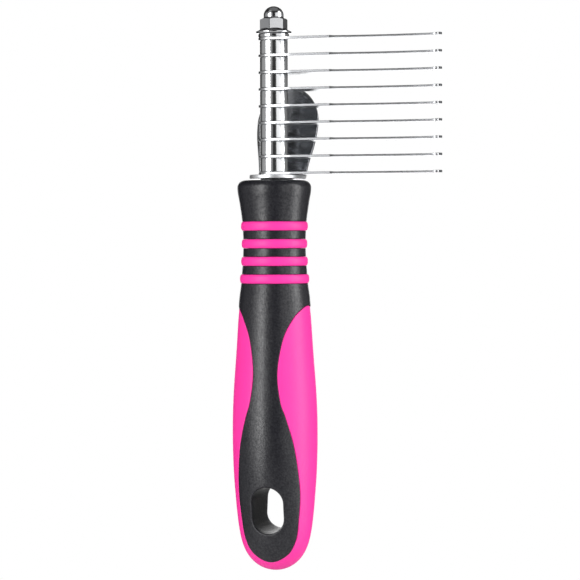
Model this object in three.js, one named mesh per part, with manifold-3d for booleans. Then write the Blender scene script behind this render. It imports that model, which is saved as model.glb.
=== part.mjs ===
// Undercoat rake: nine steel blades, held apart by spacers on one stud, on a two-material handle.
// Millimetres. +Z runs up the handle to the blades and +X is the way the blades point. -Y is the front,
// which the cutting edges face, and +Y is the back, with the thumb rest. The origin is the centre of the
// hanging slot, on the handle's axis.
import * as THREE from 'three';
import { mergeVertices } from 'three/addons/utils/BufferGeometryUtils.js';
import Module from 'manifold-3d';

const wasm = await Module();
wasm.setup();

// Heights on the handle, from the slot's centre
const handleEnd = -20.5;
const skirtHeight = 67; // where the moulded grip ends and the neck starts, at the sides
const neckLength = 40.35;
const bellyHeight = 26;
const waistHeight = 45; // where the front panel is narrowest

// Radii of the handle's body
const endRadius = 12.05;
const bellyRadius = 13.95;
const skirtRadius = 11.75;
const neckRadius = 10.25;
const collarRadius = 12.05;
const collarEdge = 2.3; // rounding of the collar's top rim
const endRound = 18.2; // how far the rounded bottom end reaches up the handle
const endPower = 2.7; // how square that end is: 2 would be an ellipse
const endFlatness = 0.22; // share by which the bottom end is thinner front to back than it is wide
const flatStart = 24; // height below which that thinning begins
const flatReach = 44;

// Soft grip, moulded round the sides and the bottom of the core
const skinThickness = 2.4;
const skirtStep = 0.3; // how far the core's skirt stands proud of the grip below it
const stepFade = 6;
const mouldGap = 0.2; // between the core and whatever is moulded or pressed into it
const panelHalfWidth = 10.35; // front panel, beside the slot
const waistHalfWidth = 4.05;
const panelToEnd = 3.1; // strip of grip that shows below the panel

// Soft rings round the neck
const ringCount = 4;
const ringPitch = 5.75;
const ringAboveSkirt = 8.15; // the lowest ring's centre
const ringWidth = 2.95;
const ringProud = 0.55;
const ringDepth = 1.4;

// Hanging slot
const slotWidth = 10.5;
const slotHeight = 15.4;

// Stud, a long bolt whose hexagonal head is moulded into the handle
const studRadius = 2.5;
const studDepth = 30; // below the handle's top
const headFlats = 8;
const headHeight = 3.5;
const runningClearance = 0.15; // radial, between the stud and what is on it
const stackGap = 0.05; // between two pieces that lie on each other

// Seat on the handle's top, under the thumb rest's plate
const seatHeight = 0.5;
const seatHalfWidth = 4.5;
const seatBack = 8.5;

// Thumb rest, bent from one sheet with the plate that the stud passes through
const sheetThickness = 1.25;
const plateRadius = 8.1;
const plateToBend = 9.2; // from the stud's axis back to the start of the bend
const bendRadius = 2.2;
const leanAtBend = 17; // degrees back from the vertical
const leanAtTop = 25;
const restHeight = 29.9; // above the plate
const restHalfWidth = 10.45;
const restLobe = 11.8; // height of the elliptical top lobe

// Blades and spacers
const bladeCount = 9;
const bladeThickness = 0.8;
const bladeReach = 57;
const eyeRadius = 5.05;
const shankLength = 20; // from the stud's axis to the start of the cutting edge
const shankFlare = 0.85; // how far the cutting edge's ends stand in front of the eye
const edgeHollow = 1.3; // how far the cutting edge curves back between its ends
const noseRadius = 1;
const backStraight = 34; // length of the blade's straight back
const spacerLength = 4.59;
const spacerRadius = 4.6;

// Top washer and flanged cap nut
const washerThickness = 1.3;
const washerRadius = 5.1;
const nutFlats = 8;
const nutTurn = -4.6; // degrees from the front to the nearest corner, positive towards +X
const flangeRadius = 5.9;
const flangeRim = 0.65;
const flangeHeight = 1.7;
const hexHeight = 3.3;
const domeWall = 0.65;
const domeNeck = 1;
const domeHeight = 3;
const boreDepth = 5.9;
const studEndGap = 0.4;

// Heights that follow
const handleTop = skirtHeight + neckLength;
const seatTop = handleTop + seatHeight;
const plateBottom = seatTop + stackGap;
const plateTop = plateBottom + sheetThickness;
const bladePitch = bladeThickness + spacerLength + 2 * stackGap;
const lowestBlade = plateTop + stackGap;
const washerBottom = lowestBlade + (bladeCount - 1) * bladePitch + bladeThickness + stackGap;
const nutBottom = washerBottom + washerThickness + stackGap;
const studHole = studRadius + runningClearance;
const domeRadius = studHole + domeWall;

// Facets
const aroundHandle = 28;
const aroundStack = 24;
const beyond = 30; // how far a cutting tool runs past what it cuts

const colours = {
  handle: { color: 0x2b2c30, roughness: 0.55, metalness: 0 },
  grip: { color: 0xff4ab5, roughness: 0.6, metalness: 0 },
  blade: { color: 0xc9cccf, roughness: 0.3, metalness: 1 },
  spacer: { color: 0xd4d7da, roughness: 0.12, metalness: 1 },
  fastener: { color: 0xcfd2d5, roughness: 0.2, metalness: 1 },
  rest: { color: 0x6e7073, roughness: 0.35, metalness: 1 },
};

// ---- Solids from three.js geometry, and back ----

function solidOf(geometry) {
  const bare = geometry.index ? geometry.toNonIndexed() : geometry.clone();
  bare.deleteAttribute('normal');
  bare.deleteAttribute('uv');
  const merged = mergeVertices(bare, 1e-4);
  return new wasm.Manifold(new wasm.Mesh({
    numProp: 3,
    vertProperties: new Float32Array(merged.attributes.position.array),
    triVerts: new Uint32Array(merged.index.array),
  }));
}

function geometryOf(solid) {
  const mesh = solid.getMesh();
  const geometry = new THREE.BufferGeometry();
  geometry.setAttribute('position', new THREE.BufferAttribute(new Float32Array(mesh.vertProperties), 3));
  geometry.setIndex(new THREE.BufferAttribute(new Uint32Array(mesh.triVerts), 1));
  geometry.computeVertexNormals();
  return geometry;
}

const group = new THREE.Group();

function place(name, geometry, colour, height = 0) {
  const mesh = new THREE.Mesh(geometry, new THREE.MeshStandardMaterial(colours[colour]));
  mesh.name = name;
  mesh.position.z = height;
  group.add(mesh);
}

// ---- Building blocks ----

const point = (x, y) => new THREE.Vector2(x, y);

// A profile of [radius, height] points turned about the Z axis
function turned(profile, segments) {
  const line = profile.map(([radius, height]) => point(radius, height));
  const geometry = new THREE.LatheGeometry(line, segments);
  return geometry.rotateX(Math.PI / 2);
}

// A shape drawn in X and Z, pushed through the handle along Y
function throughY(shape, depth, curveSegments = 12) {
  const geometry = new THREE.ExtrudeGeometry(shape, { depth, bevelEnabled: false, curveSegments });
  return geometry.translate(0, 0, -depth / 2).rotateX(Math.PI / 2);
}

// A shape drawn in X and Y, raised along Z
function raised(shape, depth, curveSegments = 12) {
  return new THREE.ExtrudeGeometry(shape, { depth, bevelEnabled: false, curveSegments });
}

function post(radius, bottom, top, segments = aroundStack) {
  return turned([[0, bottom], [radius, bottom], [radius, top], [0, top]], segments);
}

// With one corner at the front, or turned from there by some degrees towards +X
function hexagon(flats, bottom, top, turn = 0) {
  const geometry = post(flats / Math.sqrt(3), bottom, top, 6);
  return geometry.rotateZ(THREE.MathUtils.degToRad(turn));
}

function tube(outer, inner, length) {
  return turned([[inner, 0], [outer, 0], [outer, length], [inner, length], [inner, 0]], aroundStack);
}

// A U in plan: round in front of the stud and straight behind it
function uShape(radius, back) {
  const shape = new THREE.Shape();
  shape.absarc(0, 0, radius, Math.PI, 2 * Math.PI);
  shape.lineTo(radius, back);
  shape.lineTo(-radius, back);
  return shape;
}

// ---- The handle's outside ----

const bodyLine = new THREE.SplineCurve([
  point(handleEnd, endRadius),
  point(-9, endRadius),
  point(2, 13),
  point(13, 13.72),
  point(bellyHeight, bellyRadius),
  point(37.5, 13.6),
  point(52, 12.6),
  point(skirtHeight, skirtRadius),
  point(skirtHeight + 6.9, 10.95),
  point(skirtHeight + 17.4, neckRadius),
  point(handleTop - 14.3, 10.48),
  point(handleTop - 7.3, 11.4),
  point(handleTop - 3.5, collarRadius),
  point(handleTop, collarRadius),
]);

// Radius of the body at each height, by walking along the line above
const bodySamples = bodyLine.getPoints(280);

function bodyRadius(height) {
  const next = bodySamples.findIndex((sample) => sample.x >= height);
  if (next <= 0) return next < 0 ? collarRadius : endRadius;
  const [low, high] = [bodySamples[next - 1], bodySamples[next]];
  return THREE.MathUtils.mapLinear(height, low.x, high.x, low.y, high.y);
}

// The end and the rim close as rounded shoulders of the body's own line
function handleRadius(height) {
  const intoEnd = Math.max(0, (handleEnd + endRound - height) / endRound);
  const intoRim = Math.max(0, (height - handleTop + collarEdge) / collarEdge);
  const rimInset = collarEdge * (1 - Math.sqrt(1 - Math.min(1, intoRim) ** 2));
  return bodyRadius(height) * Math.sqrt(Math.max(0, 1 - intoEnd ** endPower)) - rimInset;
}

function gripRadius(height) {
  return handleRadius(height) - skirtStep * Math.exp((height - skirtHeight) / stepFade);
}

// The bottom end is thinner front to back than it is wide
function flattened(geometry) {
  const positions = geometry.attributes.position;
  for (let i = 0; i < positions.count; i += 1) {
    const down = THREE.MathUtils.smoothstep(flatStart - positions.getZ(i), 0, flatReach);
    positions.setY(i, positions.getY(i) * (1 - endFlatness * down));
  }
  return geometry;
}

// Heights that are close together where the outline turns quickly
function bodyHeights(bottom, top) {
  const heights = [0.3, 0.9, 1.9, 3.4, 5.4, 8].map((step) => handleEnd + step);
  for (let height = handleEnd + 12; height < skirtHeight - 2; height += 6.5) heights.push(height);
  heights.push(skirtHeight, skirtHeight + 5);
  for (let height = skirtHeight + 10; height < handleTop - 6; height += 5) heights.push(height);
  heights.push(...[1, 0.6, 0.3, 0.1].map((share) => handleTop - collarEdge * share));
  return heights.filter((height) => height > bottom && height < top);
}

function handleBody(radiusAt, bottom, top) {
  const profile = bodyHeights(bottom, top).map((height) => [radiusAt(height), height]);
  return flattened(turned([[0, bottom], ...profile, [radiusAt(top), top], [0, top]], aroundHandle));
}

// The core's body under the grip's skin, grown by a gap
function underGrip(gap) {
  const depth = skinThickness - gap;
  return handleBody((height) => gripRadius(height) - depth, handleEnd + depth, skirtHeight + 1);
}

// ---- Front panel: the part of the core that shows between the grip's two sides ----

function panelShape(inset) {
  const side = [
    point(0, handleEnd + panelToEnd + inset),
    point(5.6 - inset, handleEnd + 5.6 + inset / 2),
    point(8.5 - inset, handleEnd + 10.5),
    point(9.65 - inset, -3.2),
    point(panelHalfWidth - inset, 7),
    point(9.25 - inset, 20),
    point(6.95 - inset, 29.7),
    point(5.1 - inset, 35.5),
    point(waistHalfWidth - inset, waistHeight),
    point(5.6 - inset, skirtHeight - 11.4),
    point(8.4 - inset, skirtHeight - 4.7 + inset),
    point(10.5 - inset, skirtHeight - 1.75 + inset),
    point(skirtRadius + 0.15, skirtHeight - 0.3 + inset),
    point(14, skirtHeight + inset),
    point(20, skirtHeight + inset),
    point(beyond, skirtHeight + inset),
  ];
  const otherSide = side.slice(1).reverse().map((p) => point(-p.x, p.y));
  const line = new THREE.SplineCurve([...otherSide, ...side]).getPoints(84);
  const above = handleTop + beyond;
  return new THREE.Shape([...line, point(beyond, above), point(-beyond, above)]);
}

function slotShape() {
  const radius = slotWidth / 2;
  const straight = slotHeight / 2 - radius;
  const shape = new THREE.Shape();
  shape.absarc(0, straight, radius, 0, Math.PI);
  shape.absarc(0, -straight, radius, Math.PI, 2 * Math.PI);
  return shape;
}

// ---- Neck rings ----

const ringHeights = Array.from({ length: ringCount }, (_, i) => (
  skirtHeight + ringAboveSkirt + (ringCount - 1 - i) * ringPitch
));

// A band with a rounded outside, let into a groove in the core
function ringBand(height) {
  const surface = handleRadius(height);
  const inner = surface - ringDepth;
  const half = ringWidth / 2;
  const bulge = new THREE.EllipseCurve(surface, 0, ringProud, half, -Math.PI / 2, Math.PI / 2);
  const outside = bulge.getPoints(4).map((p) => [p.x, p.y]);
  return turned([[inner, -half], ...outside, [inner, half], [inner, -half]], aroundHandle);
}

function ringGroove(height) {
  const half = ringWidth / 2 + mouldGap;
  const inner = handleRadius(height) - ringDepth - mouldGap;
  const outer = inner + beyond;
  const groove = [[inner, -half], [outer, -half], [outer, half], [inner, half], [inner, -half]];
  return turned(groove, aroundHandle).translate(0, 0, height);
}

// ---- Pieces ----

const headTop = handleTop - studDepth + headHeight;

function handleCore() {
  const body = solidOf(handleBody(handleRadius, handleEnd, handleTop));
  const inside = solidOf(underGrip(0));
  const panel = solidOf(throughY(panelShape(mouldGap / 2), 2 * beyond));
  const seatShape = raised(uShape(seatHalfWidth, seatBack), seatHeight + 1);
  const seat = solidOf(seatShape.translate(0, 0, handleTop - 1));
  let core = body.intersect(panel).add(inside).add(seat);
  ringHeights.forEach((height) => {
    core = core.subtract(solidOf(ringGroove(height)));
  });
  const slot = solidOf(throughY(slotShape(), 2 * beyond, 8));
  const studBore = solidOf(post(studHole, headTop - 1, seatTop + 1));
  const pocketBottom = headTop - headHeight - mouldGap;
  const headPocket = solidOf(hexagon(headFlats + 2 * mouldGap, pocketBottom, headTop + mouldGap));
  return geometryOf(core.subtract(slot).subtract(studBore).subtract(headPocket));
}

function gripOvermould() {
  const body = solidOf(handleBody(gripRadius, handleEnd, skirtHeight));
  const inside = solidOf(underGrip(mouldGap));
  const panel = solidOf(throughY(panelShape(-mouldGap / 2), 2 * beyond));
  return geometryOf(body.subtract(inside).subtract(panel));
}

function stud() {
  const head = solidOf(hexagon(headFlats, headTop - headHeight, headTop));
  const shank = solidOf(post(studRadius, headTop - 1, nutBottom + boreDepth - studEndGap));
  return geometryOf(head.add(shank));
}

// The sheet's middle line from the plate's front, round the bend and up the leaning rest
function sheetLine() {
  const middle = plateBottom + sheetThickness / 2;
  const line = [point(-plateRadius - 1, middle)];
  const turnedBy = Math.PI / 2 - THREE.MathUtils.degToRad(leanAtBend);
  for (let i = 0; i <= 5; i += 1) {
    const angle = (turnedBy * i) / 5;
    const back = plateToBend + bendRadius * Math.sin(angle);
    line.push(point(back, middle + bendRadius * (1 - Math.cos(angle))));
  }
  const rise = (plateTop + restHeight + 1 - line[line.length - 1].y) / 6;
  for (let i = 0; i < 6; i += 1) {
    const lean = THREE.MathUtils.degToRad(THREE.MathUtils.lerp(leanAtBend, leanAtTop, (i + 0.5) / 6));
    const last = line[line.length - 1];
    line.push(point(last.x + rise * Math.tan(lean), last.y + rise));
  }
  return line;
}

// The same line moved sideways by an offset, square to it
function offsetLine(line, offset) {
  return line.map((p, i) => {
    const along = line[Math.min(i + 1, line.length - 1)].clone().sub(line[Math.max(i - 1, 0)]).normalize();
    return point(p.x - along.y * offset, p.y + along.x * offset);
  });
}

function thumbRest() {
  const line = sheetLine();
  const near = offsetLine(line, sheetThickness / 2);
  const far = offsetLine(line, -sheetThickness / 2).reverse();
  const sheet = throughY(new THREE.Shape([...far, ...near]), 2 * beyond).rotateZ(Math.PI / 2);

  const plateZone = raised(uShape(plateRadius, plateToBend + beyond), 2 * sheetThickness);
  plateZone.translate(0, 0, plateBottom - sheetThickness / 2);
  const lobeHeight = plateTop + restHeight - restLobe;
  const low = point(plateRadius + 0.3, plateTop + 6);
  const high = point(restHalfWidth, plateTop + 10.5);
  const front = new THREE.Shape();
  front.moveTo(-plateRadius, plateTop);
  front.lineTo(plateRadius, plateTop);
  front.bezierCurveTo(low.x, low.y, high.x, high.y, restHalfWidth, lobeHeight);
  front.absellipse(0, lobeHeight, restHalfWidth, restLobe, 0, Math.PI);
  front.bezierCurveTo(-high.x, high.y, -low.x, low.y, -plateRadius, plateTop);
  const outline = solidOf(plateZone).add(solidOf(throughY(front, 3 * beyond)));
  const hole = solidOf(post(studHole, plateBottom - 1, plateTop + 1));
  return geometryOf(solidOf(sheet).intersect(outline).subtract(hole));
}

// Seen from above, with its eye round the origin and its cutting edge towards -Y
function bladeShape() {
  const edgeLine = -eyeRadius - shankFlare;
  const tipStart = bladeReach - 2 * noseRadius;
  const shape = new THREE.Shape();
  shape.absarc(0, 0, eyeRadius, Math.PI / 2, (3 * Math.PI) / 2);
  shape.lineTo(shankLength, edgeLine);
  shape.quadraticCurveTo((shankLength + tipStart) / 2, edgeLine + 2 * edgeHollow, tipStart, edgeLine);
  shape.absarc(bladeReach - noseRadius, edgeLine, noseRadius, -Math.PI / 2, 0);
  shape.bezierCurveTo(bladeReach, edgeLine + 4, backStraight + 12, eyeRadius, backStraight, eyeRadius);
  shape.lineTo(0, eyeRadius);
  const eye = new THREE.Path();
  eye.absarc(0, 0, studHole, 0, 2 * Math.PI, true);
  shape.holes.push(eye);
  return shape;
}

function capNut() {
  const flangeTop = nutBottom + flangeHeight;
  const hexTop = flangeTop + hexHeight;
  const corner = nutFlats / Math.sqrt(3);
  const dome = new THREE.EllipseCurve(0, hexTop + domeNeck, domeRadius, domeHeight, 0, Math.PI / 2);
  const flangeAndDome = turned([
    [0, nutBottom],
    [flangeRadius, nutBottom],
    [flangeRadius, nutBottom + flangeRim],
    [nutFlats / 2, flangeTop],
    [domeRadius, flangeTop + 0.5],
    ...dome.getPoints(6).map((p) => [p.x, p.y]),
  ], aroundStack);
  const chamfer = turned([
    [0, nutBottom],
    [corner, nutBottom],
    [corner, hexTop - 0.55],
    [nutFlats / 2 - 0.2, hexTop],
    [0, hexTop],
  ], aroundStack);
  const hex = solidOf(hexagon(nutFlats, nutBottom + flangeRim, hexTop, nutTurn)).intersect(solidOf(chamfer));
  const bore = solidOf(post(studHole, nutBottom - 1, nutBottom + boreDepth));
  return geometryOf(solidOf(flangeAndDome).add(hex).subtract(bore));
}

// ---- Assembly ----

place('handle_core', handleCore(), 'handle');
place('grip_overmould', gripOvermould(), 'grip');
ringHeights.forEach((height, i) => place(`grip_ring_${i + 1}`, ringBand(height), 'grip', height));
place('stud', stud(), 'fastener');
place('thumb_rest', thumbRest(), 'rest');

// Blade 1 is at the top, under the washer
for (let i = 0; i < bladeCount; i += 1) {
  const height = lowestBlade + (bladeCount - 1 - i) * bladePitch;
  place(`blade_${i + 1}`, raised(bladeShape(), bladeThickness, 8), 'blade', height);
  if (i > 0) {
    const spacer = tube(spacerRadius, studHole, spacerLength);
    place(`spacer_${i}`, spacer, 'spacer', height + bladeThickness + stackGap);
  }
}

place('top_washer', tube(washerRadius, studHole, washerThickness), 'fastener', washerBottom);
place('cap_nut', capNut(), 'fastener');

export default group;
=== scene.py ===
import math

import bmesh
import bpy
import numpy as np
from mathutils import Matrix, Vector
from mathutils.geometry import delaunay_2d_cdt


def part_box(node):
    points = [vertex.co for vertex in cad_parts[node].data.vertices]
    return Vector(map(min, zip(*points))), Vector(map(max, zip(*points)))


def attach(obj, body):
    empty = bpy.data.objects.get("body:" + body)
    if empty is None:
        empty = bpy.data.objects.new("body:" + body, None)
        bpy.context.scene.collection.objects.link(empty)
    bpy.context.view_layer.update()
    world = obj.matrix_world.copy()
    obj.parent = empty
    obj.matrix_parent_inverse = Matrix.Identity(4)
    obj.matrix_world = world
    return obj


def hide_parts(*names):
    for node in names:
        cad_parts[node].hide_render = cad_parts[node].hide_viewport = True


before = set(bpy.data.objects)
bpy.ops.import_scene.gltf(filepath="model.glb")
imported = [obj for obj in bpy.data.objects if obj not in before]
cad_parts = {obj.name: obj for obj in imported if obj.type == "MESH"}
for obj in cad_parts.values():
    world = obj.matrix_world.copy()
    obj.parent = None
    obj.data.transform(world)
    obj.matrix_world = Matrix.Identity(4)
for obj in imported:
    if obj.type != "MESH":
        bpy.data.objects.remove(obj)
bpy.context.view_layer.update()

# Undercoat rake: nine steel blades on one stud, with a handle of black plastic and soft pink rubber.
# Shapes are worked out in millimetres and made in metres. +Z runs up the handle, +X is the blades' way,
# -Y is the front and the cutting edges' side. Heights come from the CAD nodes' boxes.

MM = 0.001


def low_of(node):
    return np.array(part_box(node)[0]) / MM


def high_of(node):
    return np.array(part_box(node)[1]) / MM


# ---- Sizes, in millimetres ----

HANDLE_END = low_of("grip_overmould")[2]
SEAT_HEIGHT = 0.5
SEAT_TOP = high_of("handle_core")[2]
HANDLE_TOP = SEAT_TOP - SEAT_HEIGHT
NECK_LENGTH = 40.35
SKIRT = HANDLE_TOP - NECK_LENGTH
BELLY = 26
WAIST = 45

END_RADIUS = 12.05
BELLY_RADIUS = 13.95
SKIRT_RADIUS = 11.75
NECK_RADIUS = 10.25
COLLAR_RADIUS = 12.05
COLLAR_EDGE = 2.3
END_ROUND = 18.2
END_POWER = 2.7
END_FLATNESS = 0.22
FLAT_START = 24
FLAT_REACH = 44

SKIN = 2.4
SKIRT_STEP = 0.3
STEP_FADE = 6
PANEL_HALF_WIDTH = 10.35
WAIST_HALF_WIDTH = 4.05
PANEL_TO_END = 3.1
PARTING_GAP = 0.05  # half the width of the line between the core and the grip
CORE_LIP = 0.16
GRIP_LIP = 0.3

RING_WIDTH = 2.95
RING_PROUD = 0.55
RING_DEPTH = 1.4
RING_TUCK = 0.12  # how far below the surface the ring's round outside begins
RING_GAP = 0.05
GROOVE_LIP = 0.15

CORE_INNER = 2  # everything nearer the middle than this lies inside the core
SLOT_WIDTH = 10.5
SLOT_HEIGHT = 15.4
SLOT_RIM = 0.55
SLOT_RADIUS = SLOT_WIDTH / 2
SLOT_RISE = SLOT_HEIGHT / 2 - SLOT_RADIUS  # from the slot's centre to the centres of its round ends

SEAT_HALF_WIDTH = 4.5
SEAT_BACK = 8.5
SEAT_CORNER = 0.8
SEAT_FILLET = 0.2
SEAT_EDGE = 0.12

STUD_RADIUS = 2.5
STUD_HOLE = 2.65
HEAD_FLATS = 8
HEAD_HEIGHT = 3.5
POCKET_GAP = 0.2
THREAD_PITCH = 0.8
THREAD_DEPTH = 0.3
THREAD_LENGTH = 12

SHEET = 1.25
PLATE_RADIUS = 8.1
PLATE_TO_BEND = 9.2
BEND_RADIUS = 2.2
LEAN_AT_BEND = 17
LEAN_AT_TOP = 25
REST_HALF_WIDTH = 10.45
REST_LOBE = 11.8
SHEET_RIM = 0.14
SHEET_ROUNDNESS = 0.8
REST_CROWN = 52  # radius of the rest's slight bulge across its width

EYE_RADIUS = 5.05
SHANK_LENGTH = 20
SHANK_FLARE = 0.85
EDGE_HOLLOW = 1.3
NOSE_RADIUS = 1
NOSE_LENGTH = 2.6
BACK_STRAIGHT = 34
BEVEL_WIDTH = 2.2
EDGE_THICKNESS = 0.58
BLADE_RIM = 0.2

SPACER_EDGE = 0.22
WASHER_EDGE = 0.38

NUT_FLATS = 8
NUT_TURN = math.radians(-4.6)
FLANGE_RADIUS = 5.9
FLANGE_RIM = 0.65
FLANGE_HEIGHT = 1.7
HEX_HEIGHT = 3.3
DOME_RADIUS = 3.3
DOME_NECK = 1
BORE_DEPTH = 5.9
CORNER_SHARPNESS = 160.0  # power of the hexagon's blunted corners
CORNER_REACH = 0.996  # of the sharp corner's radius


# ---- Curves ----

def spline(points, per_span=48):
    """A smooth line through points. At each point it runs parallel to the line between its neighbours."""
    ends = np.array([points[0], *points, points[-1]], float)
    share = (np.arange(per_span) / per_span)[:, None]
    spans = []
    for before, start, end, after in zip(ends, ends[1:], ends[2:], ends[3:]):
        leaving, arriving = (end - before) / 2, (after - start) / 2
        spans.append(
            (2 * start - 2 * end + leaving + arriving) * share ** 3
            + (3 * end - 3 * start - 2 * leaving - arriving) * share ** 2
            + leaving * share
            + start
        )
    return np.concatenate([*spans, ends[-1:]])


def bezier(start, control_1, control_2, end, count):
    share = np.linspace(0, 1, count)[:, None]
    rest = 1 - share
    return (
        rest ** 3 * np.array(start, float)
        + 3 * rest ** 2 * share * np.array(control_1, float)
        + 3 * rest * share ** 2 * np.array(control_2, float)
        + share ** 3 * np.array(end, float)
    )


def arc(centre, radius, start, end, count):
    angles = np.radians(np.linspace(start, end, count))
    return np.array(centre, float) + radius * np.stack([np.cos(angles), np.sin(angles)], 1)


def joined(*parts):
    """Lines joined end to end, without the points that they share."""
    return np.concatenate([part[:-1] for part in parts])


def lengths_along(points):
    """Each point's distance along the line from its start."""
    return np.concatenate([[0], np.cumsum(np.linalg.norm(np.diff(points, axis=0), axis=1))])


def out_of(ring):
    """Directions out of a sheet, at the points of an anticlockwise outline or a clockwise hole."""
    along = unit(np.roll(ring, -1, 0) - np.roll(ring, 1, 0))
    return np.stack([along[:, 1], -along[:, 0]], 1)


def smoothstep(value):
    value = np.clip(value, 0, 1)
    return value * value * (3 - 2 * value)


def unit(vectors):
    return vectors / np.linalg.norm(vectors, axis=-1, keepdims=True)


# ---- Meshes ----

def inside(point, polygon):
    """Whether a flat point lies in a polygon."""
    x, y = polygon[:, 0], polygon[:, 1]
    next_x, next_y = np.roll(x, -1), np.roll(y, -1)
    crosses = (y > point[1]) != (next_y > point[1])
    with np.errstate(divide="ignore", invalid="ignore"):
        at = x + (point[1] - y) * (next_x - x) / (next_y - y)
    return bool(np.count_nonzero(crosses & (point[0] < at)) % 2)


def triangles_between(outline, holes, extra=(), extra_lines=()):
    """Triangles over a flat outline with holes. Their corners number the outline's points, then each
    hole's, then the extra ones."""
    rings = [np.asarray(outline), *map(np.asarray, holes)]
    points, edges = [], []
    for ring in rings:
        first = len(points)
        points.extend(ring)
        edges.extend((first + i, first + (i + 1) % len(ring)) for i in range(len(ring)))
    first = len(points)
    points.extend(extra)
    edges.extend((first + a, first + b) for a, b in extra_lines)
    placed, _, faces, origins, _, _ = delaunay_2d_cdt([Vector(p) for p in points], edges, [], 0, 1e-7)
    kept = []
    for face in faces:
        centre = sum((placed[i] for i in face), Vector((0, 0))) / 3
        if inside(centre, rings[0]) and not any(inside(centre, hole) for hole in rings[1:]):
            kept.append([origins[i][0] for i in face])
    return kept


def grid_faces(rows, columns, closed=True, skip=()):
    """Squares between rows of points. A closed grid joins each row's last point to its first."""
    faces = []
    for row in range(rows - 1):
        for column in range(columns if closed else columns - 1):
            if (row, column) in skip:
                continue
            across = (column + 1) % columns
            faces.append((
                row * columns + column, row * columns + across,
                (row + 1) * columns + across, (row + 1) * columns + column,
            ))
    return faces


def mesh_from(points, faces):
    mesh = bmesh.new()
    vertices = [mesh.verts.new(point) for point in points]
    for face in faces:
        mesh.faces.new([vertices[i] for i in face])
    return mesh


def merge(mesh):
    """Points that fall together become one."""
    bmesh.ops.remove_doubles(mesh, verts=mesh.verts, dist=1e-4)
    bmesh.ops.dissolve_degenerate(mesh, edges=mesh.edges, dist=1e-5)


def piece(name, mesh, material, body, node, sharp=40):
    """A visible piece made from a mesh in millimetres, in place of a CAD node, on that node's body."""
    merge(mesh)
    bmesh.ops.recalc_face_normals(mesh, faces=mesh.faces)
    bmesh.ops.scale(mesh, vec=(MM, MM, MM), verts=mesh.verts)
    data = bpy.data.meshes.new(name)
    mesh.to_mesh(data)
    mesh.free()
    data.shade_smooth()
    data.set_sharp_from_angle(angle=math.radians(sharp))
    data.materials.append(material)
    made = bpy.data.objects.new(name, data)
    bpy.context.scene.collection.objects.link(made)
    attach(made, body)
    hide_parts(node)


def turned(radius_at, heights, segments=192):
    """Rows round the Z axis. radius_at gives each height's radii for an array of angles from the front
    towards +X. A height may come twice, with another rule for its radius."""
    angles = np.linspace(0, 2 * math.pi, segments, endpoint=False)
    rows = []
    for rule, height in heights:
        radii = radius_at(rule, height, angles) * np.ones(segments)
        rows.append(np.stack([radii * np.sin(angles), -radii * np.cos(angles), np.full(segments, height)], 1))
    return mesh_from(np.concatenate(rows), grid_faces(len(rows), segments))


def lathe(profile, segments=192):
    """A profile of (radius, height) points, from the axis to the axis or closed on itself, turned."""
    return turned(lambda radius, height, angles: radius, profile, segments)


def rounded_profile(corners, radius, steps=5):
    """The corners of a closed profile, each rounded by a radius, as points in the same order."""
    corners = np.array(corners, float)
    points = []
    for before, corner, after in zip(np.roll(corners, 1, 0), corners, np.roll(corners, -1, 0)):
        start = corner + unit(before - corner) * radius
        end = corner + unit(after - corner) * radius
        for share in np.linspace(0, 1, steps):
            points.append(start * (1 - share) ** 2 + 2 * corner * share * (1 - share) + end * share ** 2)
    return [*points, points[0]]


RIM_ROWS = 13


def plate(outline, holes, half_at, rim, place, roundness, extra=(), extra_lines=()):
    """A sheet with a rounded rim. The outline runs anticlockwise and the holes clockwise. half_at gives
    half the thickness at flat points, and place puts flat points and their heights in space. roundness
    gives the rim's section at flat points: 1 is an ellipse, and less is squarer."""
    rings = [np.asarray(outline), *map(np.asarray, holes)]
    outward = [out_of(ring) for ring in rings]
    flat, height = [], []
    turns = np.linspace(0, math.pi, RIM_ROWS)
    faces, starts = [], []
    for ring, out in zip(rings, outward):
        starts.append(sum(map(len, flat)))
        for turn in turns:
            bend = roundness(ring)[:, None]
            at = ring - out * rim * (1 - max(1e-9, math.sin(turn)) ** bend)
            level = math.copysign(1, math.cos(turn)) * max(1e-9, abs(math.cos(turn))) ** bend[:, 0]
            flat.append(at)
            height.append(half_at(at) * level)
        first = starts[-1]
        faces.extend(tuple(first + i for i in face) for face in grid_faces(len(turns), len(ring)))
    extra = np.array(extra, float).reshape(-1, 2)
    first_extra = sum(map(len, flat))
    for side in (1, -1):
        flat.append(extra)
        height.append(half_at(extra) * side)
    tops = [ring - out * rim for ring, out in zip(rings, outward)]
    sizes = [len(ring) for ring in rings]
    for side, ring_row, extra_first in ((1, 0, first_extra), (-1, len(turns) - 1, first_extra + len(extra))):
        number = np.concatenate([
            *[starts[k] + ring_row * sizes[k] + np.arange(sizes[k]) for k in range(len(rings))],
            extra_first + np.arange(len(extra)),
        ]).astype(int)
        for triangle in triangles_between(tops[0], tops[1:], extra, extra_lines):
            faces.append(tuple(int(number[i]) for i in triangle[::side]))
    return mesh_from(place(np.concatenate(flat), np.concatenate(height)), faces)


# ---- The handle's outside ----

BODY_LINE = spline([
    (HANDLE_END, END_RADIUS),
    (-9, END_RADIUS),
    (2, 13),
    (13, 13.72),
    (BELLY, BELLY_RADIUS),
    (37.5, 13.6),
    (52, 12.6),
    (SKIRT, SKIRT_RADIUS),
    (SKIRT + 6.9, 10.95),
    (SKIRT + 17.4, NECK_RADIUS),
    (HANDLE_TOP - 14.3, 10.48),
    (HANDLE_TOP - 7.3, 11.4),
    (HANDLE_TOP - 3.5, COLLAR_RADIUS),
    (HANDLE_TOP, COLLAR_RADIUS),
])


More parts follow.
